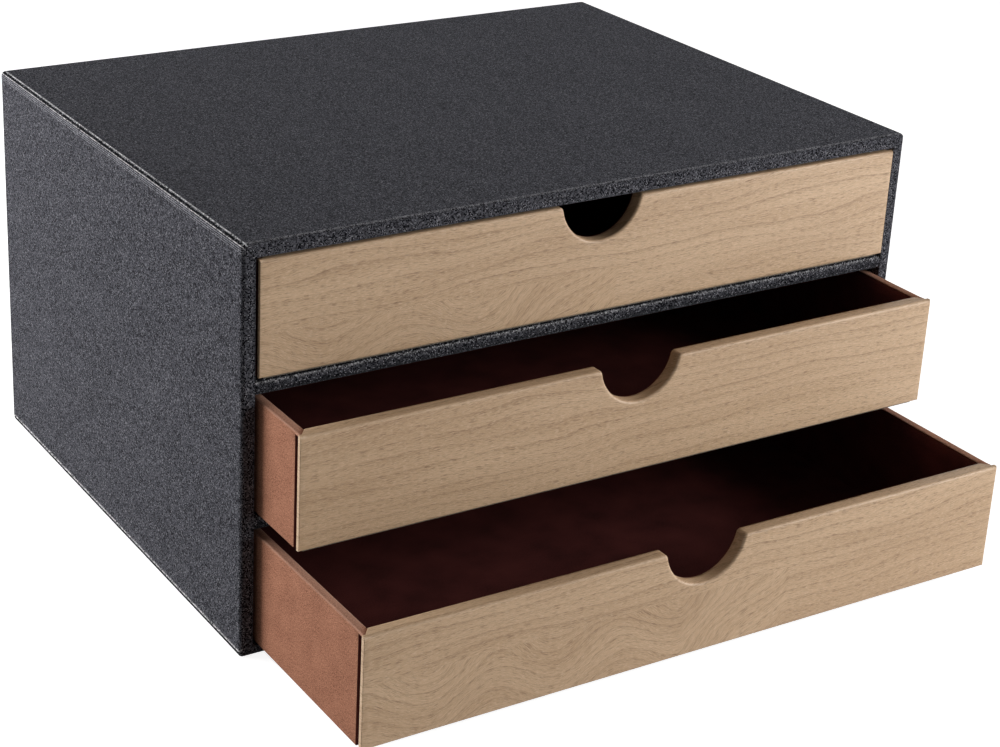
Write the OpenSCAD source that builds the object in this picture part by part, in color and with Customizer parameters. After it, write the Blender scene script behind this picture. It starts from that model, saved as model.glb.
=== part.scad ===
// Desktop organizer with three drawers, made of board that is covered in cloth and paper.
// The case stands on its flat underside. X runs across it, Y from front to back and Z up,
// and the origin is the middle of the underside. The drawers slide out along -Y.

/* [Case] */
// Width of the case over its cloth
case_w = 335; // [240:1:420]
// Depth of the case, from the front rim to the back
case_d = 258; // [180:1:340]
// Thickness of the side and top boards
board_t = 5; // [3:0.1:8]
// Thickness of the bottom board
bottom_board_t = 3.6; // [2.5:0.1:8]
// Thickness of the back board
back_board_t = 3; // [2:0.1:6]
// Thickness of the two shelf boards
shelf_board_t = 5.8; // [5:0.1:8]
// Thickness of the cloth glued over the boards
cloth_t = 0.5; // [0.3:0.05:0.8]
// Radius of the outer edges of the case
edge_r = 2; // [1:0.1:3]
// Radius of the shelves' rounded front edges
nose_r = 2.8; // [1:0.1:4]

/* [Drawer fronts] */
// Height of a wood-grain drawer front
front_h = 49.8; // [40:0.1:80]
// Gap between a drawer front and the side of the case
side_gap = 1.2; // [0.5:0.1:3]
// Gap between the top drawer front and the top of the case
top_head_gap = 0.9; // [0.5:0.1:4]
// Gap between the lower drawer fronts and the shelf above them
head_gap = 1.9; // [0.5:0.1:4]
// Height of the front's lower edge above the underside of the drawer
front_lift = 1.1; // [0.5:0.1:3]
// How far a closed front stands out from the case
front_proud = 1.2; // [0:0.1:3]
// Thickness of the thin facing board
facing_board_t = 1.5; // [1:0.1:4]
// Thickness of the wood-grain skin round the facing board
skin_t = 0.4; // [0.2:0.05:0.8]
// Radius of the front's rounded upper edge
fold_r = 1.5; // [0.9:0.1:3]
// Radius of the half-round finger notch
notch_r = 19.8; // [12:0.1:24]
// Depth of the finger notch below the upper edge
notch_depth = 17.5; // [8:0.1:19]
// Radius of the notch's two shoulders
shoulder_r = 2; // [1:0.1:4]

/* [Drawer boxes] */
// Thickness of the wall boards
wall_board_t = 3.1; // [2.4:0.1:5]
// Thickness of the front wall board
front_board_t = 3.9; // [2.5:0.1:6]
// Thickness of the floor board
floor_board_t = 2.5; // [1.5:0.1:5]
// Thickness of the paper wrapped round the box
wrap_t = 0.4; // [0.2:0.05:0.8]
// Thickness of the dark lining paper
lining_t = 0.4; // [0.2:0.05:0.8]
// How far the box sides stand in from the ends of the front
wall_inset = 0.8; // [0.5:0.1:3]
// How far the front wall board stops short of the box sides
end_recess = 2; // [1:0.1:2.6]
// Height of the wrapped tab that closes that recess at the top
tab_h = 1; // [1:0.1:4]
// How far the rim of the box lies below the front's upper edge
rim_drop = 0.3; // [0:0.1:2]
// Gap between the underside of a drawer and what it slides on
slide_gap = 0.3; // [0.2:0.05:0.8]
// Gap behind a closed drawer
back_gap = 1; // [0.5:0.1:5]

/* [Drawers standing open] */
// How far the top drawer stands open
top_open = 0; // [0:0.1:150]
// How far the middle drawer stands open
middle_open = 35; // [0:0.1:150]
// How far the bottom drawer stands open
bottom_open = 88; // [0:0.1:150]

/* [Hidden] */
$fn = 48;

// How far a cutting shape runs past what it cuts
past = 5;

// Covered thicknesses of the case's panels
panel_t = board_t + 2 * cloth_t;
bottom_t = bottom_board_t + 2 * cloth_t;
back_t = back_board_t + 2 * cloth_t;
shelf_t = shelf_board_t + 2 * cloth_t;

// Rounded edges, which can't be larger than the board that they are on
shelf_nose_r = min(nose_r, shelf_board_t / 2);
front_edge_r = min(fold_r, facing_board_t);

// Heights inside a drawer, from its own underside
front_top = front_lift + front_h;
rim_z = front_top - rim_drop;

// Heights of the case: three slots, with a shelf under each of the upper two
slot_h = slide_gap + front_top + head_gap;
top_slot_h = slide_gap + front_top + top_head_gap;
ceiling_z = bottom_t + 2 * (slot_h + shelf_t) + top_slot_h;
case_h = ceiling_z + panel_t;

// Levels of the drawers, counted upwards, and how far each one stands open
bottom_index = 0;
middle_index = 1;
top_index = 2;
standing_open = [bottom_open, middle_open, top_open];
function slot_z(level) = bottom_t + level * (slot_h + shelf_t);

// Widths and depths
inner_w = case_w - 2 * panel_t;
case_front = -case_d / 2;
inner_back = case_d / 2 - back_t;
facing_w = inner_w - 2 * side_gap;
facing_t = facing_board_t + skin_t;
front_t = facing_t + front_board_t;
box_w = facing_w - 2 * wall_inset;
wall_t = wrap_t + wall_board_t + lining_t;
drawer_len = inner_back - back_gap - case_front + front_proud;

// Insides of the box: between the boards, and between the linings
between_boards = box_w - 2 * (wrap_t + wall_board_t);
between_linings = box_w - 2 * wall_t;
boards_back = drawer_len - wrap_t - wall_board_t;
lining_back = drawer_len - wall_t;
floor_top = wrap_t + floor_board_t;

// Half width of the wood-grain fold at a depth y: its ends are cut on a mitre,
// from the front's corners back to the inner corners of the box
function mitre_x(y) = facing_w / 2 - (facing_w - between_linings) / 2 * y / front_t;

// Colours of the finishes
cloth_colour = "#37383d";
board_colour = "#8f877a";
rust_colour = "#a26f59";
lining_colour = "#2e1714";
oak_colour = "#bfa285";

// ---- shared shapes ----

// Box between two corners
module block(low, high) {
  translate(low) cube(high - low);
}

// Rectangle with four round corners, about its middle
module rounded_rect(w, h, r) {
  square([w - 2 * r, h], center = true);
  square([w, h - 2 * r], center = true);
  for (x = [-1, 1], y = [-1, 1])
    translate([x * (w / 2 - r), y * (h / 2 - r)]) circle(r);
}

// The closed outer form of the case, with every edge rounded, drawn in by an inset
module case_form(inset) {
  w = case_w - 2 * inset;
  d = case_d - 2 * inset;
  h = case_h - 2 * inset;
  r = edge_r - inset;
  translate([0, 0, case_h / 2])
    intersection() {
      linear_extrude(h, center = true) rounded_rect(w, d, r);
      rotate([90, 0, 0]) linear_extrude(d, center = true) rounded_rect(w, h, r);
      rotate([90, 0, 90]) linear_extrude(w, center = true) rounded_rect(d, h, r);
    }
}

// The space inside the case, open at the front, let out by a margin
module case_space(margin) {
  block([-inner_w / 2 - margin, case_front - past, bottom_t - margin],
        [inner_w / 2 + margin, inner_back + margin, ceiling_z + margin]);
}

// All the boards of the case's shell in one
module board_shell() {
  difference() {
    case_form(cloth_t);
    case_space(cloth_t);
  }
}

// The cloth over one panel: outside, round the front and back edges and inside.
// The panel's section is a trapezoid, because neighbouring cloths meet on a mitre.
module panel_cloth(section) {
  difference() {
    intersection() {
      case_form(0);
      translate([0, case_d / 2 + past, 0])
        rotate([90, 0, 0]) linear_extrude(case_d + 2 * past) polygon(section);
    }
    case_space(0);
    board_shell();
  }
}

// ---- case boards ----

module side_board(side) {
  board_in = inner_w / 2 + cloth_t;
  color(board_colour)
    intersection() {
      board_shell();
      translate([side * (board_in + case_w) / 2, 0, case_h / 2])
        cube([case_w - board_in, case_d, case_h], center = true);
    }
}

module level_board(low_z, high_z) {
  board_in = inner_w / 2 + cloth_t;
  color(board_colour)
    intersection() {
      case_form(cloth_t);
      block([-board_in, case_front, low_z], [board_in, case_d / 2, high_z]);
    }
}

module top_board() {
  level_board(ceiling_z + cloth_t, case_h);
}

module bottom_board() {
  level_board(0, bottom_t - cloth_t);
}

module back_board() {
  color(board_colour)
    block([-inner_w / 2 - cloth_t, inner_back + cloth_t, bottom_t - cloth_t],
          [inner_w / 2 + cloth_t, case_d / 2 - cloth_t, ceiling_z + cloth_t]);
}

// ---- case cloth ----

// Corner points of the case's section, outside and inside
outer_x = case_w / 2;
inner_x = inner_w / 2;

module side_cover(side) {
  color(cloth_colour)
    panel_cloth([[side * outer_x, 0], [side * outer_x, case_h],
                 [side * inner_x, ceiling_z], [side * inner_x, bottom_t]]);
}

module top_cover() {
  color(cloth_colour)
    panel_cloth([[-outer_x, case_h], [outer_x, case_h], [inner_x, ceiling_z], [-inner_x, ceiling_z]]);
}

module bottom_cover() {
  color(cloth_colour)
    panel_cloth([[-outer_x, 0], [outer_x, 0], [inner_x, bottom_t], [-inner_x, bottom_t]]);
}

// A sheet on one face of the back board, from y on: cloth outside, dark paper inside
module back_sheet(y, sheet_colour) {
  color(sheet_colour)
    block([-inner_x, y, bottom_t], [inner_x, y + cloth_t, ceiling_z]);
}

// ---- shelves ----

// Section of a shelf, front to back, with its front edges rounded
module shelf_section(inset) {
  r = shelf_nose_r - inset;
  front = case_front + inset;
  t = shelf_t - 2 * inset;
  translate([front + r, inset]) square([inner_back - front - r, t]);
  translate([front, inset + r]) square([2 * r, t - 2 * r]);
  for (z = [inset + r, inset + t - r])
    translate([front + r, z]) circle(r);
}

module shelf_form(level, inset) {
  translate([0, 0, slot_z(level) - shelf_t])
    rotate([90, 0, 90]) linear_extrude(inner_w, center = true) shelf_section(inset);
}

module shelf_board(level) {
  color(board_colour) shelf_form(level, cloth_t);
}

module shelf_cover(level) {
  color(cloth_colour)
    difference() {
      shelf_form(level, 0);
      shelf_form(level, cloth_t);
    }
}

// ---- drawers ----

// Puts a drawer at its level. It is drawn with y = 0 at its front and z = 0 at its underside.
module place(level) {
  translate([0, case_front - front_proud - standing_open[level], slot_z(level) + slide_gap])
    children();
}

// Outline of the finger notch, let out by a margin: a circle that sinks below the
// upper edge, and a round shoulder on each side that is tangent to both
module notch_outline(margin) {
  r = notch_r + margin;
  centre_z = front_top + notch_r - notch_depth;
  reach = notch_r + shoulder_r;
  shoulder_z = front_top - shoulder_r;
  shoulder_x = sqrt(pow(reach, 2) - pow(centre_z - shoulder_z, 2));
  touch_x = shoulder_x * r / reach;
  touch_z = centre_z - (centre_z - shoulder_z) * r / reach;
  above_z = front_top + past;
  difference() {
    union() {
      translate([0, centre_z]) circle(r);
      polygon([[-touch_x, touch_z], [touch_x, touch_z], [shoulder_x, shoulder_z],
               [shoulder_x, above_z], [-shoulder_x, above_z], [-shoulder_x, shoulder_z]]);
    }
    for (side = [-1, 1])
      translate([side * shoulder_x, shoulder_z]) circle(shoulder_r - margin);
  }
}

// The notch as a cutting shape, from y_from to y_to
module notch(margin, y_from, y_to) {
  translate([0, y_to, 0])
    rotate([90, 0, 0]) linear_extrude(y_to - y_from) notch_outline(margin);
}

// The facing, drawn in by an inset at its front, ends and edges
module facing_form(inset) {
  r = front_edge_r - inset;
  low = front_lift + inset;
  high = front_top - inset;
  rotate([90, 0, 90])
    linear_extrude(facing_w - 2 * inset, center = true) {
      translate([inset + r, low]) square([facing_t - inset - r, high - low]);
      translate([inset, low]) square([r, high - low - r]);
      intersection() {
        translate([inset + r, high - r]) circle(r);
        translate([inset, high - r]) square([facing_t - inset, r]);
      }
    }
}

module facing_board(level) {
  color(board_colour)
    place(level)
      difference() {
        facing_form(skin_t);
        notch(skin_t, -past, facing_t + past);
      }
}

// The fold of wood-grain skin that lies on the front wall board
module fold_form() {
  back_x = between_linings / 2;
  front_x = mitre_x(facing_t);
  translate([0, 0, front_top - skin_t])
    linear_extrude(skin_t)
      polygon([[-front_x, facing_t], [front_x, facing_t], [back_x, front_t], [-back_x, front_t]]);
}

// The skin covers the facing, folds over onto the front wall and lines the notch
module facing_skin(level) {
  color(oak_colour)
    place(level)
      difference() {
        union() {
          difference() {
            facing_form(0);
            facing_form(skin_t);
          }
          fold_form();
          intersection() {
            notch(skin_t, skin_t, front_t);
            block([-facing_w / 2, 0, front_lift], [facing_w / 2, front_t, front_top - skin_t]);
          }
        }
        notch(0, -past, front_t + past);
      }
}

module front_wall(level) {
  half = box_w / 2 - end_recess;
  front_x = mitre_x(facing_t);
  back_x = between_linings / 2;
  color(board_colour)
    place(level)
      difference() {
        union() {
          block([-half, facing_t, 0], [half, front_t, rim_z - tab_h]);
          translate([0, 0, rim_z - tab_h])
            linear_extrude(front_top - skin_t - rim_z + tab_h)
              polygon([[-front_x, facing_t], [front_x, facing_t],
                       [back_x, front_t], [-back_x, front_t]]);
        }
        notch(skin_t, facing_t - past, front_t + past);
      }
}

module side_wall(level, side) {
  outer = box_w / 2 - wrap_t;
  color(board_colour)
    place(level)
      translate([side * (outer - wall_board_t / 2), 0, 0])
        block([-wall_board_t / 2, front_t + wrap_t, wrap_t],
              [wall_board_t / 2, drawer_len - wrap_t, rim_z - wrap_t]);
}

module back_wall(level) {
  color(board_colour)
    place(level)
      block([-between_boards / 2, boards_back, wrap_t],
            [between_boards / 2, drawer_len - wrap_t, rim_z - wrap_t]);
}

module floor_board(level) {
  color(board_colour)
    place(level)
      block([-between_boards / 2, front_t, wrap_t],
            [between_boards / 2, boards_back, floor_top]);
}

// Tab that closes the recess beside the front wall, on one side
module tab(side) {
  translate([0, 0, rim_z - tab_h])
    linear_extrude(tab_h)
      polygon([[side * between_linings / 2, front_t], [side * box_w / 2, front_t],
               [side * box_w / 2, facing_t], [side * mitre_x(facing_t), facing_t]]);
}

// Paper over the outside, the rim and the underside of the box
module wrap(level) {
  half = box_w / 2;
  color(rust_colour)
    place(level) {
      difference() {
        block([-half, front_t, 0], [half, drawer_len, rim_z]);
        block([-half + wrap_t, front_t + wrap_t, wrap_t],
              [half - wrap_t, drawer_len - wrap_t, rim_z - wrap_t]);
        block([-between_boards / 2, front_t - past, wrap_t],
              [between_boards / 2, boards_back, rim_z - wrap_t]);
        block([-between_linings / 2, front_t - past, wrap_t],
              [between_linings / 2, lining_back, rim_z + past]);
      }
      for (side = [-1, 1])
        tab(side);
    }
}

// Dark paper over the floor and the inner faces of the four walls
module lining(level) {
  color(lining_colour)
    place(level)
      difference() {
        block([-between_boards / 2, front_t, floor_top],
              [between_boards / 2, boards_back, rim_z - wrap_t]);
        block([-between_linings / 2, front_t + lining_t, floor_top + lining_t],
              [between_linings / 2, lining_back, rim_z + past]);
        notch(0, front_t - past, front_t + lining_t + past);
      }
}

side_board(-1);  // left_board
side_board(1);  // right_board
top_board();
bottom_board();
back_board();
shelf_board(top_index);  // upper_shelf_board
shelf_board(middle_index);  // lower_shelf_board
side_cover(-1);  // left_cover
side_cover(1);  // right_cover
top_cover();
bottom_cover();
back_sheet(case_d / 2 - cloth_t, cloth_colour);  // back_cover
back_sheet(inner_back, lining_colour);  // back_lining
shelf_cover(top_index);  // upper_shelf_cover
shelf_cover(middle_index);  // lower_shelf_cover

side_wall(top_index, -1);  // top_left_wall
side_wall(top_index, 1);  // top_right_wall
back_wall(top_index);  // top_back_wall
front_wall(top_index);  // top_front_wall
floor_board(top_index);  // top_floor
facing_board(top_index);  // top_facing_board
facing_skin(top_index);  // top_facing_skin
wrap(top_index);  // top_wrap
lining(top_index);  // top_lining

side_wall(middle_index, -1);  // middle_left_wall
side_wall(middle_index, 1);  // middle_right_wall
back_wall(middle_index);  // middle_back_wall
front_wall(middle_index);  // middle_front_wall
floor_board(middle_index);  // middle_floor
facing_board(middle_index);  // middle_facing_board
facing_skin(middle_index);  // middle_facing_skin
wrap(middle_index);  // middle_wrap
lining(middle_index);  // middle_lining

side_wall(bottom_index, -1);  // bottom_left_wall
side_wall(bottom_index, 1);  // bottom_right_wall
back_wall(bottom_index);  // bottom_back_wall
front_wall(bottom_index);  // bottom_front_wall
floor_board(bottom_index);  // bottom_floor
facing_board(bottom_index);  // bottom_facing_board
facing_skin(bottom_index);  // bottom_facing_skin
wrap(bottom_index);  // bottom_wrap
lining(bottom_index);  // bottom_lining
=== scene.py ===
import math

import bmesh
import bpy
import numpy as np
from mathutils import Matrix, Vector


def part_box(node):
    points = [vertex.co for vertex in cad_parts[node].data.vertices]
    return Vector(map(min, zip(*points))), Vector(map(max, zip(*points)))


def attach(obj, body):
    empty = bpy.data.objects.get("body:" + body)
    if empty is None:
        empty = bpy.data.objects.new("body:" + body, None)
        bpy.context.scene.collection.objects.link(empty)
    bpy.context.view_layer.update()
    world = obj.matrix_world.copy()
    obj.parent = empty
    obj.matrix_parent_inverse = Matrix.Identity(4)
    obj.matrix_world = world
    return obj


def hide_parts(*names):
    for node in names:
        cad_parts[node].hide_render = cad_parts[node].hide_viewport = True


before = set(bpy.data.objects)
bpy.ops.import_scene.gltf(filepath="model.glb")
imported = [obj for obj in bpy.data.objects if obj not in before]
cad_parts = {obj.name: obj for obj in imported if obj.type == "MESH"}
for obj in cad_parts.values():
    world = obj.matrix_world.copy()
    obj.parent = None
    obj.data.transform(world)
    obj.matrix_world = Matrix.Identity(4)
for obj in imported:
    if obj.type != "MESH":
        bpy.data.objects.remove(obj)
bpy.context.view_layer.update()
mm = 0.001
drawers = ("top", "middle", "bottom")


# A node's box in the frame, in mm.
def boxMm(node):
    low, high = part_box(node)
    return np.array(low) / mm, np.array(high) / mm


# The case's outer box, and the space inside it
caseLow = np.array([boxMm("left_cover")[0][0], boxMm("top_cover")[0][1], boxMm("bottom_cover")[0][2]])
caseHigh = np.array([boxMm("right_cover")[1][0], boxMm("top_cover")[1][1], boxMm("top_cover")[1][2]])
backLow, backHigh = boxMm("back_lining")
roomLow = np.array([backLow[0], caseLow[1], backLow[2]])
roomHigh = np.array([backHigh[0], backLow[1], backHigh[2]])
print("case", caseLow.round(2), caseHigh.round(2), "inside", roomLow.round(2), roomHigh.round(2))


# Even steps from a to b, ends included, each about step long.
def span(a, b, step):
    return np.linspace(a, b, max(2, int(round(abs(b - a) / step)) + 1))


# Stations from low to high: near lists the distances wanted close to both ends, and the rest
# between them is in even steps.
def stations(low, high, near, step):
    near = np.asarray(near)
    inner = span(low + near[-1], high - near[-1], step)[1:-1]
    return np.concatenate([low + near, inner, high - near[::-1]])


# Points of an arc about (x, z), from one angle to another in degrees.
def arc(x, z, radius, fromDeg, toDeg, steps):
    turn = np.radians(np.linspace(fromDeg, toDeg, steps + 1))
    return np.stack([x + radius * np.cos(turn), z + radius * np.sin(turn)], -1)


# Distance along a line of points, from its first one.
def travelled(points):
    return np.concatenate([[0], np.cumsum(np.linalg.norm(np.diff(points, axis=0), axis=1))])


# Smooth hump of height 1: exp(-((s - centre) / width)^2).
def bell(s, centre, width):
    return np.exp(-((s - centre) / width) ** 2)


# Smooth step from 0 at a to 1 at b: 3t^2 - 2t^3.
def smoothStep(s, a, b):
    t = np.clip((s - a) / (b - a), 0, 1)
    return t * t * (3 - 2 * t)


# One sheet of quads: points is an (n, m, 3) grid in mm, uv the same grid unrolled flat, in mm.
# marks are extra values for each point, such as pale for an edge made pale by wear and a painted highlight.
def sheet(points, uv, slot=0, **marks):
    shape = np.shape(points)[:2]
    marks = {key: np.broadcast_to(value, shape) for key, value in marks.items()}
    return {"points": np.array(points, float), "uv": np.array(uv, float), "slot": slot, "marks": marks}


# Puts coordinates that may be single rows or columns together into one grid of points.
def grid(*coordinates):
    return np.stack(np.broadcast_arrays(*coordinates), -1)


# Makes one object of several sheets. Their shared edges are joined, and the faces are turned
# alike, so that the one which lies farthest along towards looks along looks.
def makePiece(name, sheets, materials, towards, looks=None, sharpDeg=40.0):
    points = np.concatenate([part["points"].reshape(-1, 3) for part in sheets]) * mm
    flat = np.concatenate([part["uv"].reshape(-1, 2) for part in sheets])
    quads, slots, start = [], [], 0
    for part in sheets:
        n, m = part["points"].shape[:2]
        index = start + np.arange(n * m).reshape(n, m)
        corners = (index[:-1, :-1], index[1:, :-1], index[1:, 1:], index[:-1, 1:])
        quads.append(np.stack(corners, -1).reshape(-1, 4))
        slots.append(np.full((n - 1) * (m - 1), part["slot"], np.int32))
        start += n * m
    quads, slots = np.concatenate(quads), np.concatenate(slots)
    mesh = bpy.data.meshes.new(name)
    mesh.from_pydata(points.tolist(), [], quads.tolist())
    mesh.uv_layers.new(name="flat").data.foreach_set("uv", flat[quads].astype(np.float32).ravel())
    mesh.polygons.foreach_set("material_index", slots)
    mesh.polygons.foreach_set("use_smooth", np.ones(len(quads), bool))
    for key in sorted({key for part in sheets for key in part["marks"]}):
        values = [part["marks"].get(key, np.zeros(part["points"].shape[:2])) for part in sheets]
        values = np.concatenate([value.ravel() for value in values]).astype(np.float32)
        mesh.attributes.new(key, "FLOAT", "POINT").data.foreach_set("value", values)
    work = bmesh.new()
    work.from_mesh(mesh)
    bmesh.ops.remove_doubles(work, verts=work.verts, dist=0.004 * mm)
    bmesh.ops.recalc_face_normals(work, faces=work.faces)
    towards = Vector(towards)
    farthest = max(work.faces, key=lambda face: face.calc_center_median().dot(towards))
    if farthest.normal.dot(Vector(looks or towards)) < 0:
        bmesh.ops.reverse_faces(work, faces=work.faces)
    work.to_mesh(mesh)
    work.free()
    mesh.set_sharp_from_angle(angle=math.radians(sharpDeg))
    for material in materials:
        mesh.materials.append(material)
    piece = bpy.data.objects.new(name, mesh)
    bpy.context.scene.collection.objects.link(piece)
    return piece


# Gives an open skin its thickness, inwards from its faces.
def thicken(piece, thickness):
    solidify = piece.modifiers.new("thickness", "SOLIDIFY")
    solidify.thickness = thickness * mm
    solidify.offset = -1


# Places a piece on the body that it rides on, and hides the frame's node that it stands for.
def install(piece, body, node):
    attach(piece, body)
    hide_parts(node)


# Gives a socket a link or a plain value.
def feed(tree, socket, value):
    if isinstance(value, bpy.types.NodeSocket):
        tree.links.new(value, socket)
    else:
        socket.default_value = value


# One step of sums on sockets or numbers.
def calc(tree, operation, *values):
    node = tree.nodes.new("ShaderNodeMath")
    node.operation = operation
    for slot, value in enumerate(values):
        feed(tree, node.inputs[slot], value)
    return node.outputs[0]


def add(tree, first, *others):
    for other in others:
        first = calc(tree, "ADD", first, other)
    return first


def times(tree, first, *others):
    for other in others:
        first = calc(tree, "MULTIPLY", first, other)
    return first


# Noise between 0 and 1 brought to lie about 0, and made amount times as strong.
def sway(tree, noise, amount):
    return times(tree, add(tree, noise, -0.5), amount)


# Straight ramp: 0 at low and 1 at high, level outside, and falling where high is below low.
def ramp(tree, value, low, high):
    node = tree.nodes.new("ShaderNodeMapRange")
    feed(tree, node.inputs["Value"], value)
    node.inputs["From Min"].default_value = low
    node.inputs["From Max"].default_value = high
    return node.outputs["Result"]


def combine(tree, x, y, z=0.0):
    node = tree.nodes.new("ShaderNodeCombineXYZ")
    for slot, value in enumerate((x, y, z)):
        feed(tree, node.inputs[slot], value)
    return node.outputs[0]


# Cloudy noise between 0 and 1, with features of about sizes mm, of the place (x, y, z) in mm. seed
# moves it along x, so that no two noises are alike.
def cloud(tree, place, sizes, seed=0.0, detail=2.0, roughness=0.5):
    node = tree.nodes.new("ShaderNodeTexNoise")
    node.inputs["Scale"].default_value = 1.0
    node.inputs["Detail"].default_value = detail
    node.inputs["Roughness"].default_value = roughness
    scaled = [times(tree, value, 1 / size) for value, size in zip(place, sizes)]
    scaled[0] = add(tree, scaled[0], seed)
    feed(tree, node.inputs["Vector"], combine(tree, *scaled))
    return node.outputs["Fac"]


# One random value between 0 and 1 for each whole-numbered cell.
def dice(tree, x, y):
    node = tree.nodes.new("ShaderNodeTexWhiteNoise")
    node.noise_dimensions = "2D"
    feed(tree, node.inputs["Vector"], combine(tree, x, y))
    return node.outputs["Value"]


# first * (1 - share) + second * share. The Mix node's colour sockets are 6 and 7 in and 2 out.
def blendColour(tree, share, first, second):
    node = tree.nodes.new("ShaderNodeMix")
    node.data_type = "RGBA"
    feed(tree, node.inputs[0], share)
    feed(tree, node.inputs[6], first)
    feed(tree, node.inputs[7], second)
    return node.outputs[2]


# Screen colour of 0 to 255, as the linear colour that a socket takes.
def paint(r, g, b):
    share = np.array([r, g, b]) / 255
    linear = np.where(share <= 0.04045, share / 12.92, ((share + 0.055) / 1.055) ** 2.4)
    return (*linear.tolist(), 1.0)


# Material with a plain shader, set from a look. Its colour and relief are linked afterwards.
def newMaterial(name, look):
    material = bpy.data.materials.new(name)
    material.use_nodes = True
    tree = material.node_tree
    shader = tree.nodes["Principled BSDF"]
    shader.inputs["Roughness"].default_value = look["roughness"]
    shader.inputs["Specular IOR Level"].default_value = look["specular"]
    shader.inputs["Sheen Weight"].default_value = look.get("sheen", 0.0)
    shader.inputs["Sheen Roughness"].default_value = look.get("sheenRoughness", 0.5)
    shader.inputs["Sheen Tint"].default_value = look.get("sheenTint", (1.0, 1.0, 1.0, 1.0))
    return material, tree, shader


# The unrolled place on the piece, in mm.
def flatPlace(tree):
    node = tree.nodes.new("ShaderNodeUVMap")
    node.uv_map = "flat"
    split = tree.nodes.new("ShaderNodeSeparateXYZ")
    tree.links.new(node.outputs[0], split.inputs[0])
    return split.outputs[0], split.outputs[1]


# The place in the object, in mm, for boards that come straight from the frame.
def solidPlace(tree):
    node = tree.nodes.new("ShaderNodeTexCoord")
    split = tree.nodes.new("ShaderNodeSeparateXYZ")
    tree.links.new(node.outputs["Object"], split.inputs[0])
    return [times(tree, split.outputs[axis], 1 / mm) for axis in range(3)]


# Value that makePiece wrote on the mesh's points.
def mark(tree, name):
    node = tree.nodes.new("ShaderNodeAttribute")
    node.attribute_name = name
    return node.outputs["Fac"]


def addBump(tree, shader, height, depth, strength=1.0):
    node = tree.nodes.new("ShaderNodeBump")
    node.inputs["Strength"].default_value = strength
    node.inputs["Distance"].default_value = depth * mm
    tree.links.new(height, node.inputs["Height"])
    tree.links.new(node.outputs[0], shader.inputs["Normal"])


clothLook = {
    "roughness": 0.8,
    "specular": 0.0,
    "sheen": 0.12,
    "sheenRoughness": 0.35,
    "sheenTint": (0.9, 0.9, 1.0, 1.0),
    "gap": paint(16, 16, 20),          # between the threads
    "thread": paint(104, 104, 111),    # top of a thread
    "fleck": paint(206, 205, 210),     # the few pale threads
    "frayedAndHighlight": paint(250, 249, 251),    # cut ends and rubbed edges, and painted highlights on edges
    "seam": paint(7, 7, 9),            # painted shade in seams, grooves and on the shelves' fronts
    "pitch": 0.5,                      # mm from thread to thread
    "ribPitch": 0.95,                  # mm between the pulled threads beside a lap
    "waver": 0.5,                      # mm that threads stray sideways
    "strayOver": (9, 20),              # mm across and along, over which they do
    "floatEnd": 0.45,                  # height of a float at its ends, with 1 in its middle
    "slub": (0.45, 3.0),               # mm across and along, of thicker stretches of thread
    "streak": (11.0, 60.0),            # mm across and along, of wide streaks
    "cellTone": (2.8, -0.35),          # how a crossing's own value lights it: slope and start
    "slubTone": 1.2,
    "streakTone": 0.3,
    "baseTone": -0.06,
    "bandTone": (0.15, 0.45),          # painted highlight of a band: all over, and on its ribs
    "fleckCells": (0.9, 0.97),         # the values of a crossing from which it is pale
    "depth": 0.1,
}
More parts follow.
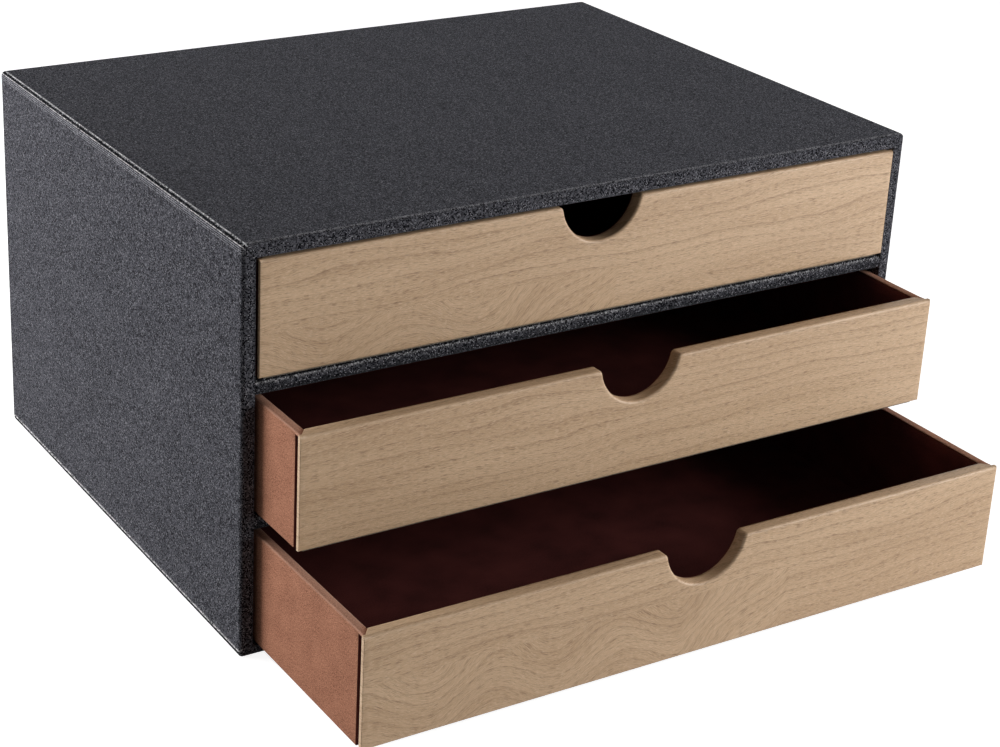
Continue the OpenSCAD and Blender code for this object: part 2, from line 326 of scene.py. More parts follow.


# Plain weave: with u and v counted in threads, the warp is on top where floor u + floor v is even.
# Where a thread is on top it stands sin(pi * the fraction across it) high, less at the ends of its
# float. Tone varies by crossing, by slubs stretched along the threads and by wide streaks. In a
# band, ribs run along v: sin of 2 * pi * u / ribPitch, and the band is lightened as a painted
# highlight of the rounded edge. The marks come from the shape: pale is wear and painted highlights
# on edges, the seam mark is painted shade in seams and grooves, and band is the ribbed band.
def makeCloth(name, look):
    material, tree, shader = newMaterial(name, look)
    u, v = flatPlace(tree)
    strayU = sway(tree, cloud(tree, (u, v), look["strayOver"]), look["waver"])
    strayV = sway(tree, cloud(tree, (u, v), look["strayOver"][::-1], 7.3), look["waver"])
    threadU = times(tree, add(tree, u, strayU), 1 / look["pitch"])
    threadV = times(tree, add(tree, v, strayV), 1 / look["pitch"])
    cellU, cellV = calc(tree, "FLOOR", threadU), calc(tree, "FLOOR", threadV)
    warp = calc(tree, "SINE", times(tree, calc(tree, "FRACT", threadU), math.pi))
    weft = calc(tree, "SINE", times(tree, calc(tree, "FRACT", threadV), math.pi))
    over = calc(tree, "LESS_THAN", calc(tree, "FLOORED_MODULO", add(tree, cellU, cellV), 2.0), 0.5)
    under = calc(tree, "SUBTRACT", 1.0, over)
    end = look["floatEnd"]
    floatWarp = times(tree, over, warp, add(tree, end, times(tree, weft, 1 - end)))
    floatWeft = times(tree, under, weft, add(tree, end, times(tree, warp, 1 - end)))
    height = add(tree, floatWarp, floatWeft)
    cell = dice(tree, cellU, cellV)
    slubWarp = cloud(tree, (u, v), look["slub"], 2.0, 1.0)
    slubWeft = cloud(tree, (u, v), look["slub"][::-1], 12.0, 1.0)
    slub = add(tree, times(tree, over, slubWarp), times(tree, under, slubWeft))
    streak = cloud(tree, (u, v), look["streak"], 5.0)
    slope, start = look["cellTone"]
    light = times(tree, height, add(tree, times(tree, cell, slope), start))
    light = add(tree, light, sway(tree, slub, look["slubTone"]), sway(tree, streak, look["streakTone"]),
                look["baseTone"])
    band = mark(tree, "band")
    ribTurn = times(tree, add(tree, u, times(tree, strayU, 0.5)), 2 * math.pi / look["ribPitch"])
    rib = calc(tree, "SINE", ribTurn)
    # painted highlight: the band and its ribs are lightened
    bandTone, ribTone = look["bandTone"]
    light = add(tree, light, times(tree, band, add(tree, bandTone, times(tree, rib, ribTone))))
    colour = blendColour(tree, ramp(tree, light, 0.0, 1.0), look["gap"], look["thread"])
    fleck = times(tree, ramp(tree, cell, *look["fleckCells"]), height, 0.5)
    # painted highlight flecks on the band's ribs
    ribFleck = times(tree, band, ramp(tree, rib, 0.5, 0.95), add(tree, 0.15, times(tree, cell, 0.5)))
    # pale edges: wear and painted highlights, in the near-white colour
    paleShare = times(tree, mark(tree, "pale"), add(tree, -0.05, times(tree, cell, 1.5)))
    colour = blendColour(tree, add(tree, fleck, ribFleck), colour, look["fleck"])
    colour = blendColour(tree, paleShare, colour, look["frayedAndHighlight"])
    # painted shade in seams and grooves, left off a few loose threads
    loose = ramp(tree, cell, 0.9, 0.82)
    colour = blendColour(tree, times(tree, mark(tree, "seam"), loose), colour, look["seam"])
    tree.links.new(colour, shader.inputs["Base Color"])
    addBump(tree, shader, height, look["depth"])
    return material


oakLook = {
    "roughness": 0.42,
    "specular": 0.4,
    "pale": paint(210, 178, 144),
    "warm": paint(192, 159, 125),
    "line": paint(144, 112, 80),
    "pore": paint(112, 80, 54),
    "glint": paint(236, 210, 181),     # short pale flecks of the fibre
    "ringPitch": 5.2,                  # mm between the darker growth lines
    "wander": 14.0,                    # mm that slow, middling and quick waves move them
    "wave": 3.0,
    "ripple": 1.1,
    "drift": 1.4,                      # lines that the pitch strays by
    "leafShift": 31.0,                 # mm that the leaf below a joint is moved by in the pattern
    "lineWeight": 0.6,
    "poreWeight": 0.62,
    "glintWeight": 0.4,
    "fibreWeight": 1.6,
    "poreSize": (4.2, 0.42),           # mm along and across the grain
    "glintSize": (2.4, 0.42),
    "fibreSize": (1.8, 0.3),
}


# Oak veneer. The growth lines are level curves of v + noise, plus crest * cos of u in the leaf below
# the joint, which fades out to the right. A line is dark on one side and fades on the other: the
# fraction of the phase, raised to a power. Pores are short streaks of noise stretched along u.
def makeOak(name, look, figure):
    material, tree, shader = newMaterial(name, look)
    flatU, flatV = flatPlace(tree)
    u = add(tree, flatU, figure["shift"][0])
    v = add(tree, flatV, figure["shift"][1])
    below = times(tree, ramp(tree, flatV, figure["joint"] + 0.15, figure["joint"] - 0.15),
                  ramp(tree, flatU, figure["fadeTo"], figure["fadeFrom"]))
    crestTurn = times(tree, add(tree, flatU, -figure["crestAt"]), 2 * math.pi / figure["crestLength"])
    wander = sway(tree, cloud(tree, (u, v), (110, 34), 0.0, 1.0), look["wander"])
    wave = sway(tree, cloud(tree, (u, v), (38, 17), 3.0, 1.0), look["wave"])
    ripple = sway(tree, cloud(tree, (u, v), (13, 4), 4.0), look["ripple"])
    tilt = times(tree, add(tree, flatU, 160.0), figure["slope"])
    bent = add(tree, v, tilt, wander, wave, ripple)
    arch = times(tree, calc(tree, "COSINE", crestTurn), -figure["crest"])
    bent = add(tree, bent, times(tree, below, add(tree, arch, wave, look["leafShift"])))
    drift = times(tree, cloud(tree, (u, v), (90, 12), 8.0), look["drift"])
    ring = calc(tree, "FRACT", add(tree, times(tree, bent, 1 / look["ringPitch"]), drift))
    sharp = calc(tree, "POWER", ring, 5.0)
    soft = times(tree, sharp, ramp(tree, ring, 1.0, 0.93))
    strength = ramp(tree, cloud(tree, (u, bent), (70, 5), 15.0), 0.34, 0.68)
    lower = add(tree, 0.75, times(tree, ramp(tree, flatV, figure["denseTo"], figure["denseFrom"]), 0.5))
    line = times(tree, soft, strength, lower)
    pore = ramp(tree, cloud(tree, (u, bent), look["poreSize"], 21.0, 2.0, 0.6), 0.5, 0.7)
    pore = times(tree, pore, add(tree, 0.55, times(tree, ring, 0.6)))
    glint = ramp(tree, cloud(tree, (u, bent), look["glintSize"], 51.0, 2.0, 0.6), 0.5, 0.72)
    fibre = sway(tree, cloud(tree, (u, bent), look["fibreSize"], 30.0, 2.0, 0.7), look["fibreWeight"])
    tone = cloud(tree, (u, bent), (120, 13), 40.0, 3.0, 0.55)
    light = add(tree, ramp(tree, tone, 0.3, 0.7), fibre, times(tree, ring, -0.25), 0.1)
    colour = blendColour(tree, light, look["warm"], look["pale"])
    colour = blendColour(tree, times(tree, line, look["lineWeight"]), colour, look["line"])
    colour = blendColour(tree, times(tree, pore, look["poreWeight"]), colour, look["pore"])
    colour = blendColour(tree, times(tree, glint, look["glintWeight"]), colour, look["glint"])
    tree.links.new(colour, shader.inputs["Base Color"])
    tree.links.new(add(tree, look["roughness"], times(tree, pore, 0.25)), shader.inputs["Roughness"])
    addBump(tree, shader, calc(tree, "SUBTRACT", glint, pore), 0.06, 0.5)
    return material


rustLook = {
    "roughness": 0.88,
    "specular": 0.1,
    "deep": paint(106, 65, 48),
    "light": paint(192, 136, 109),
    "dustAndHighlight": paint(240, 200, 178),      # rubbed edges, with painted highlights on the rims
    "blotch": 14,                      # mm across, of the three sizes of cloud
    "nap": 1.1,
    "fibre": (0.4, 0.5),
    "weights": (0.2, 0.4, 0.8),        # of the three, in that order
}


# Suede-like paper: three sizes of cloudy noise are weighted and added up, and edges are paler: rubbed, and
# painted highlights of the rims.
def makeRust(name, look):
    material, tree, shader = newMaterial(name, look)
    place = flatPlace(tree)
    blotch = cloud(tree, place, (look["blotch"],) * 2, 0.0, 3.0, 0.6)
    nap = cloud(tree, place, (look["nap"],) * 2, 3.0, 3.0, 0.7)
    fibre = cloud(tree, place, look["fibre"], 6.0, 1.0, 0.6)
    clouds = (blotch, nap, fibre)
    light = add(tree, *[times(tree, noise, weight) for noise, weight in zip(clouds, look["weights"])])
    colour = blendColour(tree, ramp(tree, light, 0.52, 0.88), look["deep"], look["light"])
    # pale edges: wear and painted highlights of the rims
    colour = blendColour(tree, times(tree, mark(tree, "pale"), 0.7), colour, look["dustAndHighlight"])
    tree.links.new(colour, shader.inputs["Base Color"])
    addBump(tree, shader, add(tree, nap, fibre), 0.06, 0.7)
    return material


liningLook = {
    "roughness": 0.85,
    "specular": 0.12,
    "deep": paint(62, 28, 27),
    "light": paint(116, 58, 54),
    "tooth": (0.5, 0.7),               # mm across, of the paper's grain
    "wide": (20, 20),                  # and of its wide clouds
}


# Dark lining paper: a fine tooth and a wide cloud of tone on a deep brown.
def makeLining(name, look):
    material, tree, shader = newMaterial(name, look)
    place = flatPlace(tree)
    tooth = cloud(tree, place, look["tooth"], 0.0, 3.0, 0.6)
    wide = cloud(tree, place, look["wide"], 5.0)
    light = add(tree, times(tree, tooth, 0.6), times(tree, wide, 0.5))
    colour = blendColour(tree, ramp(tree, light, 0.35, 0.8), look["deep"], look["light"])
    tree.links.new(colour, shader.inputs["Base Color"])
    addBump(tree, shader, tooth, 0.05, 0.5)
    return material


boardLook = {
    "roughness": 0.93,
    "specular": 0.15,
    "deep": paint(104, 96, 84),
    "light": paint(150, 140, 124),
    "fleck": paint(70, 62, 52),
    "pulp": (0.8, 0.8, 0.8),           # mm across, of the pulp's clouds
    "fleckSize": (0.35, 0.35, 0.35),
}


# Grey fibreboard: cloudy pulp with sparse dark flecks.
def makeBoard(name, look):
    material, tree, shader = newMaterial(name, look)
    place = solidPlace(tree)
    pulp = cloud(tree, place, look["pulp"], 0.0, 4.0, 0.65)
    fleck = ramp(tree, cloud(tree, place, look["fleckSize"], 4.0, 1.0), 0.68, 0.78)
    colour = blendColour(tree, ramp(tree, pulp, 0.35, 0.65), look["deep"], look["light"])
    colour = blendColour(tree, times(tree, fleck, 0.7), colour, look["fleck"])
    tree.links.new(colour, shader.inputs["Base Color"])
    addBump(tree, shader, pulp, 0.08, 0.5)
    return material


cloth = makeCloth("charcoalCloth", clothLook)
rust = makeRust("rustPaper", rustLook)
darkPaper = makeLining("darkLining", liningLook)
fibreboard = makeBoard("fibreboard", boardLook)
# How each front's veneer is cut, in mm: u from its middle to the right, v up from its lower edge
oakFigures = {
    "top": {"shift": (0.0, 0.0), "slope": -0.02, "joint": 18.5, "fadeFrom": -45.0, "fadeTo": 10.0,
            "crest": 5.5, "crestAt": -95.0, "crestLength": 70.0, "denseFrom": 26.0, "denseTo": 14.0},
    "middle": {"shift": (412.0, 140.0), "slope": 0.01, "joint": -40.0, "fadeFrom": -45.0, "fadeTo": 0.0,
               "crest": 0.0, "crestAt": 0.0, "crestLength": 70.0, "denseFrom": 34.0, "denseTo": 16.0},
    "bottom": {"shift": (55.0, 71.0), "slope": -0.02, "joint": 28.0, "fadeFrom": -10.0, "fadeTo": 45.0,
               "crest": 6.0, "crestAt": -41.0, "crestLength": 60.0, "denseFrom": 24.0, "denseTo": 10.0},
}
oaks = {key: makeOak(key + "Oak", oakLook, oakFigures[key]) for key in drawers}
print("materials made")


caseCloth = {
    "edgeRadius": 2.0,        # outer edges of the case
    "cornerReach": 5.0,       # the relief dies away towards the case's eight corners
    "rimRadius": 0.7,         # inner edge of the front rim
    "thickness": 0.5,
    "arcSteps": 6,
    "rimSteps": 4,
    "lengthStep": 3.0,
    "depthStep": 6.0,
    "deepest": 0.42,          # no relief cuts through the cloth
    "seamWidth": 0.22,
    "seamShade": 6.0,         # painted shade in a seam, by its depth, and the width of that
    "shadeWidth": 0.38,
    "grooveDepth": 0.34,
    "ribRise": 0.1,           # of the pulled threads beside a lap
    "turnedPale": 0.9,        # cloth turned in at the end of a lap
    "turnedAt": (1.5, 0.35),  # where that is, and how wide, from the front
    "paleAt": (1.7, 0.7),     # the same for the pale front edge: wear and a painted highlight
    "faceEdge": 1.4,          # the relief fades out over this height below the outer face
    # closer columns beside a panel's ends, where the seams and laps are
    "details": [0.25, 0.5, 0.75, 1.0, 1.25, 1.5, 1.7, 1.9, 2.1, 2.4, 2.8, 3.1, 3.4, 3.9, 4.2, 4.6,
                6.0, 8.0, 10.0],
}

# How two cloths meet along an edge, by the distance in mm from it. The upper one ends in a cut edge
# beside a groove with painted shade. The lower one has painted shade next to the edge, and then a
# band ribbed by its pulled threads and lightened as a painted highlight. line is the middle and the
# width of a raised pale line, a cut edge with a painted highlight. groove ends between its two
# distances, and band starts between its first two and ends between the others.
lapKinds = {
    "over": {"seam": 0.16, "line": (1.9, 0.32), "lineHeight": 0.26, "groove": (1.6, 1.2), "band": None},
    "under": {"seam": 0.16, "line": (0.7, 0.25), "lineHeight": 0.05, "groove": (0.5, 0.15),
              "band": (0.6, 1.0, 3.6, 4.2)},
    "hem": {"seam": 0.1, "line": (3.1, 0.35), "lineHeight": 0.15, "groove": (2.8, 2.4), "band": None},
    "plain": {"seam": 0.05, "line": None, "lineHeight": 0.0, "groove": None, "band": None},
}


# Distances from a sharp edge that become even steps of angle once it is rounded:
# radius * (1 - tan t), for t from 45 degrees down to 0.
def roundingMarks(radius, steps):
    return radius * (1 - np.tan(np.linspace(math.pi / 4, 0, steps + 1)))


# Rounds the case's outer edges: a point p of the sharp box goes to q + r * (p - q) / |p - q|, where
# q is p held inside the box that is smaller by the radius r.
def roundOuter(p, radius):
    q = np.clip(p, caseLow + radius, caseHigh - radius)
    d = p - q
    return q + d * radius / np.maximum(np.linalg.norm(d, axis=-1, keepdims=True), 1e-9)


# 1 at the sharp box's corners and 0 farther off: the product of three falling steps, one for each
# axis.
def nearCorner(p, reach):
    return (1 - smoothStep(np.minimum(p - caseLow, caseHigh - p), 0, reach)).prod(-1)


# Unit normals of a grid, from the cross product of its two directions, turned away from a point.
def gridNormals(p, middle):
    n = np.cross(np.gradient(p, axis=0), np.gradient(p, axis=1))
    n = n / np.maximum(np.linalg.norm(n, axis=-1, keepdims=True), 1e-9)
    return n if ((p - middle) * n).sum() > 0 else -n


# Closed section of a case panel, from the front along the outer face, down the back, along the
# inner face and up the front rim. Each point has a depth y and a share: 0 inside, 1 outside.
def panelSection(thick, style):
    front, back = caseLow[1], caseHigh[1]
    near = np.append(roundingMarks(style["edgeRadius"], style["arcSteps"]), 3.0)
    rim = np.append(roundingMarks(style["rimRadius"], style["rimSteps"]), 1.2)
    outer = stations(front, back, np.append(near, [4.0, 5.5]), style["depthStep"])
    inner = stations(front, roomHigh[1], rim, style["depthStep"])
    rise = np.concatenate([rim, thick - near[::-1]]) / thick
    parts = [(outer, np.ones_like(outer)), (np.full(len(rise), back), rise[::-1]),
             (inner[::-1], np.zeros_like(inner)), (np.full(len(rise), front), rise)]
    section = np.concatenate([np.stack(part, -1) for part in parts])
    keep = np.append(True, np.abs(np.diff(section, axis=0)).sum(1) > 1e-9)
    return section[keep]


# Relief and marks beside one end of a panel, by the distance s from it: a shallow seam on the
# edge with painted shade, a raised pale line with a painted highlight, a groove with painted shade
# and a ribbed band lightened as a painted highlight, each a hump or a smooth step of s times its
# height. onFace is 1 on the outer face, and atFront is a hump across the end of the lap, where
# the cloth is turned in at the front.
def lapRelief(kind, s, onFace, atFront, style):
    look = lapKinds[kind]
    crease = bell(s, 0, style["seamWidth"])
    relief = -look["seam"] * crease
    seam = style["seamShade"] * look["seam"] * bell(s, 0, style["shadeWidth"])
    pale, band = np.zeros_like(s), np.zeros_like(s)
    reach = 0.0
    if look["line"]:
        line = bell(s, *look["line"]) * onFace
        relief += look["lineHeight"] * line
        pale = line
        reach = look["line"][0]
    if look["groove"]:
        groove = smoothStep(s, *look["groove"]) * onFace
        relief -= style["grooveDepth"] * groove
        seam = np.maximum(seam, groove)
    if look["band"]:
        begin, full, fade, end = look["band"]
        band = smoothStep(s, begin, full) * smoothStep(s, end, fade) * onFace
        relief += style["ribRise"] * band
    if kind in ("over", "under"):
        turned = atFront * smoothStep(s, reach + 0.3, reach - 0.2) * onFace
        pale = np.maximum(pale, style["turnedPale"] * turned)
        seam = seam * (1 - turned)
    return relief, pale, seam, band


# Cloth round one panel of the case. Its section, in y and the share of the panel's thickness, is
# carried along the panel, and the ends are mitred: they run straight from the inner corner to the
# outer one. Then the edges are rounded, and the relief of seams and laps is added along the
# normals. along and across number the panel's axes, out says which way is outwards along across,
# and laps names how its low end and its high end meet their neighbours. The argument after laps is
# how pale the cloth is made along the front edge: wear and a painted highlight of the rounded edge.
def casePanel(name, node, along, across, out, laps, frontPale, style):
    faceOut = (caseHigh if out > 0 else caseLow)[across]
    faceIn = (roomHigh if out > 0 else roomLow)[across]
    thick = abs(faceOut - faceIn)
    section = panelSection(thick, style)
    y, share = section[:, :1], section[:, 1:]
    edges = roundingMarks(style["edgeRadius"], style["arcSteps"])
    near = np.unique(np.concatenate([edges, style["details"]]))
    row = stations(caseLow[along], caseHigh[along], near, style["lengthStep"])[None, :]
    lowEnd = roomLow[along] + (caseLow[along] - roomLow[along]) * share
    highEnd = roomHigh[along] + (caseHigh[along] - roomHigh[along]) * share
    a = lowEnd + (highEnd - lowEnd) * (row - row[0, 0]) / (row[0, -1] - row[0, 0])
    a = np.where(row - row[0, 0] <= near[-1], lowEnd + row - row[0, 0], a)
    a = np.where(row[0, -1] - row <= near[-1], highEnd - row[0, -1] + row, a)
    p = np.zeros(a.shape + (3,))
    p[..., along] = a
    p[..., 1] = y
    p[..., across] = faceIn + (faceOut - faceIn) * share
    q = p.copy()
    radius = style["rimRadius"]
    q[..., 1] = np.maximum(q[..., 1], caseLow[1] + radius)
    q[..., across] = out * np.maximum(out * q[..., across], out * faceIn + radius)
    d = p - q
    atRim = np.all(np.abs(d[..., [1, across]]) > 1e-9, axis=-1, keepdims=True)
    length = np.maximum(np.linalg.norm(d, axis=-1, keepdims=True), 1e-9)
    p = np.where(atRim, q + d * radius / length, p)
    calm = 1 - nearCorner(p, style["cornerReach"])
    p = roundOuter(p, style["edgeRadius"])
    onFace = smoothStep(share, 1 - style["faceEdge"] / thick, 1) + 0 * a
    fromFront = y - caseLow[1]
    atFront = bell(fromFront, *style["turnedAt"]) + 0 * a
    # pale front edge: wear and a painted highlight of its rounding
    paleEdge = frontPale * bell(fromFront, *style["paleAt"]) * smoothStep(share, 0.9, 1.0)
    relief, seam, band = np.zeros_like(a), np.zeros_like(a), np.zeros_like(a)
    pale = paleEdge + 0 * a
    for kind, s in zip(laps, (a - lowEnd, highEnd - a)):
        lapped = lapRelief(kind, s, onFace, atFront, style)
        relief += lapped[0]
        pale, seam, band = (np.maximum(old, new) for old, new in zip((pale, seam, band), lapped[1:]))
    relief = np.maximum(relief, -style["deepest"])
    p = p + gridNormals(p, p.reshape(-1, 3).mean(0)) * (relief * calm)[..., None]
    away = [0.0, 0.0, 0.0]
    away[across] = float(out)
    flat = grid(a, travelled(section * [1, thick])[:, None])
    piece = makePiece(name, [sheet(p, flat, pale=pale, seam=seam, band=band)], [cloth], away)
    thicken(piece, style["thickness"])
    install(piece, "case", node)


casePanel("topCloth", "top_cover", 0, 2, 1, ("over", "plain"), 0.2, caseCloth)
casePanel("bottomCloth", "bottom_cover", 0, 2, -1, ("plain", "plain"), 0.0, caseCloth)
casePanel("leftCloth", "left_cover", 2, 0, -1, ("hem", "under"), 0.0, caseCloth)
casePanel("rightCloth", "right_cover", 2, 0, 1, ("hem", "plain"), 0.0, caseCloth)
print("case cloths made")

backSheet = {
    "step": 8.0,
    "near": (0.0, 0.25, 0.5, 0.8, 1.6),
    "dip": 0.25,
    "dipWidth": 0.8,
    # painted shade along the sheet's sunk rim, and the width of that
    "seamShade": 0.8,
    "seamWidth": 0.3,
    "paleLine": 0.3,
    "paleAt": (0.7, 0.3),     # middle and width of the pale line beside the edge
    "thickness": 0.25,
}


# Sheet of cloth or paper on the back board: a flat grid whose rim sinks by
# dip * (1 - smooth step of the distance from the edge). out is 1 outside the case and -1 inside.
def backPiece(name, node, material, out, style):
    low, high = boxMm(node)
    near = style["near"]
    x = stations(low[0], high[0], near, style["step"])[:, None]
    z = stations(low[2], high[2], near, style["step"])[None, :]
    edge = np.minimum(np.minimum(x - low[0], high[0] - x), np.minimum(z - low[2], high[2] - z))
    sunk = style["dip"] * (1 - smoothStep(edge, 0, style["dipWidth"]))
    y = (high[1] if out > 0 else low[1]) - out * sunk
    # painted shade along the rim, and a pale line beside it
    marks = {"seam": style["seamShade"] * (1 - smoothStep(edge, 0, style["seamWidth"])),
             "pale": style["paleLine"] * bell(edge, *style["paleAt"])}
    piece = makePiece(name, [sheet(grid(x, y, z), grid(x, z), **marks)], [material], (0, out, 0))
    thicken(piece, style["thickness"])
    install(piece, "case", node)


backPiece("backCloth", "back_cover", cloth, 1, backSheet)
backPiece("backLining", "back_lining", darkPaper, -1, backSheet)

shelfCloth = {
    "noseRadius": 2.8,
    "arcSteps": 7,
    "endGap": 0.12,
    "endDip": 0.18,           # how far the ends are drawn in, and over what width
    "dipWidth": 0.6,
    "paleLine": 0.55,             # the pale line on the upper nose: wear and a painted highlight
    "paleAt": (0.5, 0.16),    # its distance from the front, and its width
    "noseShade": 0.85,        # painted shade behind that line, under the facing above
    "frontShade": (0.25, 0.45),  # painted shade in front of it: at the top, and how much more at the foot
    "endWidth": 0.25,         # of the painted shade in the seam at each end
    "step": 4.0,
    "depthStep": 9.0,
    "thickness": 0.5,
}


# Cloth round a shelf: its section in y and z, a flat bar with two quarter-round front edges, is
# carried along x, and each end is drawn in by endDip * (1 - smooth step of the distance from it).
# The front gets a pale line of wear and painted highlight along a hump of the depth, and smooth
# steps of depth and height paint shade on the rest; the seams at the ends get painted shade too.
def shelfPiece(name, node, style):
    low, high = boxMm(node)
    r = style["noseRadius"]
    depths = span(low[1] + r, high[1], style["depthStep"])
    underside = np.stack([depths[::-1], np.full(len(depths), low[2])], -1)
    topside = np.stack([depths, np.full(len(depths), high[2])], -1)
    lowNose = arc(low[1] + r, low[2] + r, r, 270, 180, style["arcSteps"])
    highNose = arc(low[1] + r, high[2] - r, r, 180, 90, style["arcSteps"])
    section = np.concatenate([underside, lowNose[1:], highNose, topside[1:], underside[:1]])
    near = style["endGap"] + np.array([0.0, 0.15, 0.35, 0.7, 1.5])
    x = stations(low[0], high[0], near, style["step"])[None, :]
    p = grid(x, section[:, :1], section[:, 1:])
    fromEnd = np.minimum(x - x[0, 0], x[0, -1] - x)
    normals = gridNormals(p, (low + high) / 2)
    p = p - normals * (style["endDip"] * (1 - smoothStep(fromEnd, 0, style["dipWidth"])))[..., None]
    depth, level = section[:, :1], section[:, 1:]
    fromFront, inFront = depth - low[1], depth < low[1] + r
    onNose = (level > high[2] - r) & inFront
    # pale line on the upper nose: wear and a painted highlight
    paleEdge = style["paleLine"] * bell(fromFront, *style["paleAt"]) * onNose
    # painted shade on the front, darker towards the foot, behind the pale line on the nose and in the seams
    # at the ends
    top, more = style["frontShade"]
    front = (top + more * smoothStep(level, high[2] - 1.6, low[2] + 0.8)) * inFront
    shade = np.maximum(style["noseShade"] * smoothStep(fromFront, 0.7, 1.0) * onNose, front)
    seam = np.maximum(shade, bell(fromEnd, 0, style["endWidth"]))
    flat = grid(x, travelled(section)[:, None] + low[2])
    piece = makePiece(name, [sheet(p, flat, seam=seam, pale=paleEdge)], [cloth], (0, -1, 0))
    thicken(piece, style["thickness"])
    install(piece, "case", node)


shelfPiece("upperShelfCloth", "upper_shelf_cover", shelfCloth)
shelfPiece("lowerShelfCloth", "lower_shelf_cover", shelfCloth)
print("back and shelves made")


oakFront = {
    "topLip": 1.2,            # how far the face is drawn in by the rounded edge, on top and in the notch
    "endLip": 0.3,            # the same at the two ends
    "footLip": 0.8,           # and below
    "lipSteps": 6,
    "notchRadius": 19.8,
    "notchDepth": 17.5,
    "shoulderRadius": 2.0,
    "notchSteps": 60,
    "fan": 46.0,              # half width over which the columns spread below the notch
    "fanStep": 2.0,
    "step": 3.0,
    "rows": 24,
    "thickness": 0.4,
}


# A front's upper edge from left to right, in x and z with z = 0 on it, and at each point the
# direction into the wood. It is a straight line, a round shoulder, the notch's arc about a
# centre above the line, and the same back.
def upperEdge(halfWidth, endGap, style):
    r, s = style["notchRadius"], style["shoulderRadius"]
    centre = r - style["notchDepth"]
    shoulderX = math.sqrt((r + s) ** 2 - (centre + s) ** 2)
    leave = math.degrees(math.atan2(centre + s, shoulderX))
    far = span(-halfWidth + endGap, -style["fan"], style["step"])[:-1]
    x = np.concatenate([far, span(-style["fan"], -shoulderX, style["fanStep"])])
    line = np.stack([x, np.zeros_like(x)], -1)
    shoulder = arc(-shoulderX, -s, s, 90, leave, 8)[1:]
    bowl = arc(0, centre, r, 180 + leave, 360 - leave, style["notchSteps"])[1:-1]
    left = np.concatenate([line, shoulder])
    into = np.concatenate([np.tile([0.0, -1.0], (len(line), 1)), ([-shoulderX, -s] - shoulder) / s])
    flip = [-1.0, 1.0]
    edge = np.concatenate([left, bowl, left[::-1] * flip])
    return edge, np.concatenate([into, (bowl - [0, centre]) / r, into[::-1] * flip])


# Feet of the columns that hang from the upper edge: they keep their x outside the fan and stand
# evenly inside it.
def columnFeet(x, fan):
    feet = x.copy()
    inside = np.abs(x) <= fan + 1e-6
    feet[inside] = np.linspace(-fan, fan, inside.sum())
    return feet


# Oak skin of a drawer front. The face is ruled between the upper edge and the lower one. Round
# the whole outline P the lip is P + inset * (1 - sin t) at y = depth * (1 - cos t), for t from 0 to
# 90 degrees, where inset points from P to the face's own edge and depth is its length, or a mean
# of two at a corner. From there the skin runs straight back: over the front wall on top and in the
# notch, with mitred ends, and to the back of the facing at the ends and below.
def oakSkin(drawer, style):
    low, high = boxMm(drawer + "_facing_skin")
    faceBack = boxMm(drawer + "_facing_board")[1][1] - low[1]
    foldBack = high[1] - low[1]
    insideX = innerHalf(drawer)
    half, tall = high[0], high[2] - low[2]
    topLip, endLip, footLip = style["topLip"], style["endLip"], style["footLip"]
    top, topInto = upperEdge(half, endLip, style)
    feet = columnFeet(top[:, 0], style["fan"])
    count = len(feet)
    rise = np.linspace(0, 1, style["rows"] + 1)[None, :, None]
    faceFoot = np.stack([feet, np.full(count, footLip - tall)], -1)[:, None]
    face = faceFoot + ((top + topInto * topLip)[:, None] - faceFoot) * rise
    levels = face[0, :, 1]

    def corner(side, z, lip):
        mean = np.array([(endLip + abs(lip)) / 2])
        return np.array([[side * half, z]]), np.array([[-side * endLip, lip]]), mean

    def end(side):
        z = levels[::-1] if side > 0 else levels
        return grid(side * half, z), np.tile([-side * endLip, 0.0], (len(z), 1)), np.full(len(z), endLip)

    foot = grid(feet[::-1], -tall)
    parts = [(top, topInto * topLip, np.full(count, topLip)), corner(1, 0.0, -topLip), end(1),
             corner(1, -tall, footLip), (foot, np.tile([0.0, footLip], (count, 1)), np.full(count, footLip)),
             corner(-1, -tall, footLip), end(-1), corner(-1, 0.0, -topLip),
             (top[:1], topInto[:1] * topLip, np.array([topLip]))]
    outline, inset, depth = (np.concatenate([part[key] for part in parts]) for key in range(3))
    turn = np.linspace(0, math.pi / 2, style["lipSteps"] + 1)[None, :, None]
    curl = outline[:, None] + inset[:, None] * (1 - np.sin(turn))
    curlFlat = outline[:, None] + inset[:, None] * (1 - turn)
    sheets = [sheet(grid(face[..., 0], 0.0, face[..., 1]), face),
              sheet(grid(curl[..., 0], depth[:, None] * (1 - np.cos(turn[..., 0])), curl[..., 1]), curlFlat)]
    cycle = len(outline) - 1
    overTop = np.r_[cycle - 1, 0:count + 1]
    below = np.arange(count, cycle)
    unit = inset / np.linalg.norm(inset, axis=1, keepdims=True)
    for pick, back in ((overTop, foldBack), (below, faceBack)):
        start = depth[pick][:, None]
        y = start + (faceBack - start) * np.linspace(0, 1, 4)[None, :]
        if back > faceBack:
            fold = span(faceBack + 0.05, back, 1.0)[None, :] + 0 * start
            y = np.concatenate([y, fold], axis=1)
        x, z = outline[pick, :1] + 0 * y, outline[pick, 1:] + 0 * y
        if back > faceBack:
            limit = np.where(y > faceBack, half - (half - insideX) * y / foldBack, half)
            beyond = np.maximum(np.abs(x) - style["fan"], 0)
            x = x - np.sign(x) * beyond * (half - limit) / (half - style["fan"])
        runBack = start * (1 - math.pi / 2) - (y - start)
        flat = outline[pick][:, None] + unit[pick][:, None] * runBack[..., None]
        sheets.append(sheet(grid(x, y, z), flat))
    for part in sheets:
        part["points"] += [0.0, low[1], high[2]]
        part["uv"] += [0.0, tall]
    piece = makePiece(drawer + "OakSkin", sheets, [oaks[drawer]], (0, -1, 0))
    thicken(piece, style["thickness"])
    install(piece, drawer + "_drawer", drawer + "_facing_skin")


drawerLining = {"thickness": 0.4, "step": 12.0, "rows": 8, "columns": 20}


# Half width of the room inside a drawer.
def innerHalf(drawer):
    return boxMm(drawer + "_lining")[1][0] - drawerLining["thickness"]


